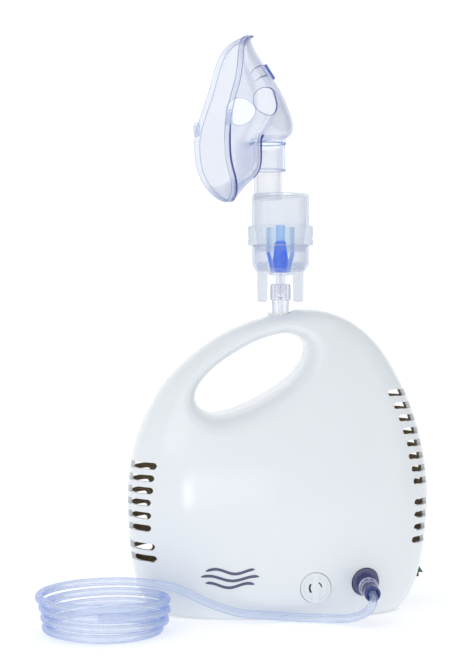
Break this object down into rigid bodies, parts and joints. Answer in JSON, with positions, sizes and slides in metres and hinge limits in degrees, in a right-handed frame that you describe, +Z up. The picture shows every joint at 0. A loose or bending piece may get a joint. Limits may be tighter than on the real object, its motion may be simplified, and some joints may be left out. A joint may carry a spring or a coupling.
{
  "type": "tabletop nebulizer",
  "caption": "Tabletop compressor nebulizer with a built-in carry handle, side cooling slots, front filter cap and air outlet, coiled air tube, and a drug cup with face mask parked on top.",
  "frame": {"origin": "middle of the set’s footprint on the table, machine and coiled tube together", "axes": "+Z up, +Y from the front face to the back, +X to the right of the front face"},
  "size_m": [0.269, 0.1662, 0.3948],
  "materials": {
    "white_abs": "gloss",
    "rubber": "matt",
    "steel": "satin",
    "copper_wire": "enamelled wire",
    "aluminium": "cast",
    "dark_plastic": "matt",
    "felt": "felt",
    "silicone": "satin",
    "slate_plastic": "satin",
    "green_plastic": "gloss",
    "blue_plastic": "gloss, slightly see-through",
    "nose_clip_blue": "satin",
    "frosted_cup": "frosted polypropylene",
    "clear_pvc": "clear soft PVC",
    "blue_tube": "clear blue-tinted PVC"
  },
  "bodies": {
    "base": {"front_shell": "white_abs", "rear_shell": "white_abs", "shell_screw_1": "steel", "shell_screw_2": "steel", "shell_screw_3": "steel", "shell_screw_4": "steel", "base_plate": "white_abs", "foot_front_left": "rubber", "foot_front_right": "rubber", "foot_rear_left": "rubber", "foot_rear_right": "rubber", "base_screw_1": "steel", "base_screw_2": "steel", "base_screw_3": "steel", "base_screw_4": "steel", "stator_core": "steel", "field_winding_left": "copper_wire", "field_winding_right": "copper_wire", "motor_bracket": "aluminium", "compressor_frame": "aluminium", "bearing_left": "steel", "bearing_right": "steel", "rubber_mount_1": "rubber", "rubber_mount_2": "rubber", "rubber_mount_3": "rubber", "rubber_mount_4": "rubber", "cylinder": "aluminium", "cylinder_head": "aluminium", "thermal_cutout": "dark_plastic", "filter_housing": "white_abs", "intake_hose": "silicone", "outlet_grommet": "slate_plastic", "pressure_hose": "silicone", "switch_frame": "dark_plastic", "mains_inlet": "dark_plastic", "switch_lead": "dark_plastic", "motor_lead": "dark_plastic", "kit_holder": "white_abs"},
    "shaft": {"rotor": "aluminium", "motor_shaft": "steel", "cooling_fan": "dark_plastic", "crank_web": "steel"},
    "piston": {"connecting_rod": "aluminium", "piston": "dark_plastic"},
    "filter_plug": {"filter_element": "felt"},
    "filter_cap": {"filter_cap": "white_abs"},
    "rocker": {"power_rocker": "green_plastic"},
    "air_line": {"tube_plug": "blue_tube", "air_tube": "blue_tube"},
    "kit_lower": {"tube_connector": "clear_pvc", "cup_body": "frosted_cup", "cup_jet": "blue_plastic", "cup_seal": "silicone"},
    "kit_upper": {"cup_top": "frosted_cup"},
    "mask": {"mask_shell": "clear_pvc", "mask_socket": "clear_pvc", "mask_rim": "clear_pvc", "nose_clip": "nose_clip_blue"}
  },
  "joints": [
    {"name": "shaft_spin", "type": "hinge", "parent": "base", "child": "shaft", "pos_m": [0.01007, 0.03213, 0.056], "axis": [1, 0, 0], "continuous": true},
    {"name": "piston_stroke", "type": "slide", "parent": "base", "child": "piston", "axis": [0, 0, 1], "range_m": [-0.0025, 0.0025]},
    {"name": "filter_pull", "type": "slide", "parent": "base", "child": "filter_plug", "axis": [0, -1, 0], "range_m": [0, 0.03]},
    {"name": "filter_turn", "type": "hinge", "parent": "filter_plug", "child": "filter_cap", "pos_m": [0.04867, -0.01487, 0.0216], "axis": [0, -1, 0], "range_deg": [0, 60]},
    {"name": "power_rock", "type": "hinge", "parent": "base", "child": "rocker", "pos_m": [0.12857, 0.04713, 0.0255], "axis": [0, 1, 0], "range_deg": [0, 14]},
    {"name": "air_plug_pull", "type": "slide", "parent": "base", "child": "air_line", "axis": [0, -0.9903, -0.1392], "range_m": [0, 0.018]},
    {"name": "kit_lift", "type": "slide", "parent": "base", "child": "kit_lower", "axis": [0, 0, 1], "range_m": [0, 0.05]},
    {"name": "cup_twist", "type": "hinge", "parent": "kit_lower", "child": "kit_upper", "pos_m": [0.03177, 0.03213, 0.255], "axis": [0, 0, 1], "range_deg": [0, 30]},
    {"name": "mask_swivel", "type": "hinge", "parent": "kit_upper", "child": "mask", "pos_m": [0.02317, 0.03213, 0.31], "axis": [0, 0, 1], "range_deg": [-90, 60]}
  ]
}
